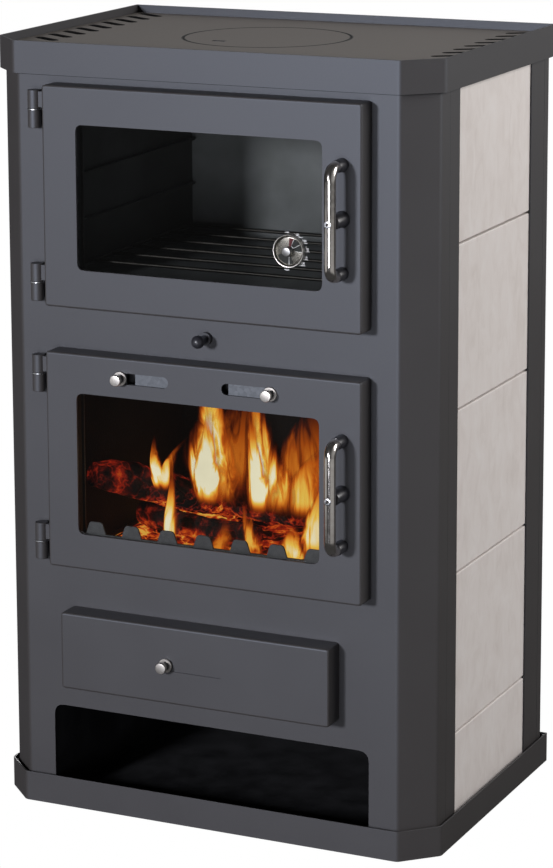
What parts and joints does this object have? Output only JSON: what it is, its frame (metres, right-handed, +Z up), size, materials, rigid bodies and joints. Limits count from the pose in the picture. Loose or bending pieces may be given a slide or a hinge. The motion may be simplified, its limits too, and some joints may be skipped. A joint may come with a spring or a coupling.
{
  "type": "stove with oven",
  "caption": "Wood-burning range with a glazed firebox door, a glazed oven door above it, an ash drawer, an open log store, tiled sides and a recessed hob plate.",
  "frame": {"origin": "on the floor under the middle of the casing", "axes": "+Z up, -Y towards the user who faces the doors, +X to that user's right"},
  "size_m": [0.592, 0.5223, 0.97],
  "materials": {
    "paint": "matte heat-proof paint, slate grey",
    "black_sheet": "matte black heat-proof paint",
    "cast_iron": "bare casting, rubbed with stove polish",
    "tile": "satin cream glaze with soft vertical veining",
    "firebrick": "pressed firebrick, sooted",
    "chrome": "polished",
    "steel": "plain drawn steel",
    "glass": "clear ceramic glass",
    "rope": "woven glass-fibre rope",
    "bakelite": "moulded heat-proof plastic",
    "needle": "dark red paint"
  },
  "bodies": {
    "stove": {"base_tray": "paint", "front_panel": "paint", "side_casing_left": "paint", "side_casing_right": "paint", "back_panel": "paint", "top_tray": "paint", "tile_left_1": "tile", "tile_left_2": "tile", "tile_left_3": "tile", "tile_left_4": "tile", "tile_left_5": "tile", "tile_right_1": "tile", "tile_right_2": "tile", "tile_right_3": "tile", "tile_right_4": "tile", "tile_right_5": "tile", "hob_plate": "cast_iron", "hearth": "cast_iron", "grate": "cast_iron", "log_bin": "black_sheet", "welded_body": "black_sheet", "smoke_shelf": "black_sheet", "oven_box": "black_sheet", "oven_rack": "chrome", "flue_collar": "black_sheet", "firebrick_left": "firebrick", "firebrick_right": "firebrick", "firebrick_back": "firebrick", "oven_hinge_lower": "paint", "oven_hinge_upper": "paint", "fire_hinge_lower": "paint", "fire_hinge_upper": "paint", "oven_latch_keeper": "steel", "fire_latch_keeper": "steel"},
    "hob_lid": {"hot_plate": "cast_iron"},
    "damper": {"damper_rod": "steel", "damper_ball": "bakelite"},
    "oven_door": {"oven_door_shell": "paint", "oven_door_liner": "black_sheet", "oven_door_glass": "glass", "oven_door_seal": "rope", "thermometer": "chrome"},
    "dial_needle": {"thermometer_needle": "needle"},
    "oven_handle": {"oven_handle_bow": "chrome", "oven_handle_spindle": "bakelite"},
    "fire_door": {"fire_door_shell": "paint", "fire_door_liner": "black_sheet", "fire_door_glass": "glass", "fire_door_seal": "rope", "log_guard": "paint"},
    "fire_handle": {"fire_handle_bow": "chrome", "fire_handle_spindle": "bakelite"},
    "left_air_control": {"left_air_slider": "paint", "left_air_knob": "chrome"},
    "right_air_control": {"right_air_slider": "paint", "right_air_knob": "chrome"},
    "ash_drawer": {"ash_drawer_front": "paint", "ash_pan": "black_sheet"},
    "ash_air_control": {"ash_air_slider": "paint", "ash_air_knob": "chrome"}
  },
  "joints": [
    {"name": "hot_plate_lift", "type": "slide", "parent": "stove", "child": "hob_lid", "axis": [0, 0, 1], "range_m": [0, 0.05]},
    {"name": "damper_pull", "type": "slide", "parent": "stove", "child": "damper", "axis": [0, -1, 0], "range_m": [0, 0.09]},
    {"name": "oven_door_hinge", "type": "hinge", "parent": "stove", "child": "oven_door", "pos_m": [-0.222, -0.212, 0.785], "axis": [0, 0, -1], "range_deg": [0, 120]},
    {"name": "dial_needle_turn", "type": "hinge", "parent": "oven_door", "child": "dial_needle", "pos_m": [0.125, -0.2299, 0.7425], "axis": [0, 1, 0], "range_deg": [-14, 166]},
    {"name": "oven_handle_turn", "type": "hinge", "parent": "oven_door", "child": "oven_handle", "pos_m": [0.193, -0.229, 0.785], "axis": [0, -1, 0], "range_deg": [0, 45]},
    {"name": "fire_door_hinge", "type": "hinge", "parent": "stove", "child": "fire_door", "pos_m": [-0.222, -0.212, 0.457], "axis": [0, 0, -1], "range_deg": [0, 120]},
    {"name": "fire_handle_turn", "type": "hinge", "parent": "fire_door", "child": "fire_handle", "pos_m": [0.193, -0.229, 0.457], "axis": [0, -1, 0], "range_deg": [0, 45]},
    {"name": "left_air_slide", "type": "slide", "parent": "fire_door", "child": "left_air_control", "axis": [1, 0, 0], "range_m": [0, 0.036]},
    {"name": "right_air_slide", "type": "slide", "parent": "fire_door", "child": "right_air_control", "axis": [-1, 0, 0], "range_m": [0, 0.036]},
    {"name": "ash_drawer_slide", "type": "slide", "parent": "stove", "child": "ash_drawer", "axis": [0, -1, 0], "range_m": [0, 0.28]},
    {"name": "ash_air_slide", "type": "slide", "parent": "ash_drawer", "child": "ash_air_control", "axis": [1, 0, 0], "range_m": [0, 0.072]}
  ]
}
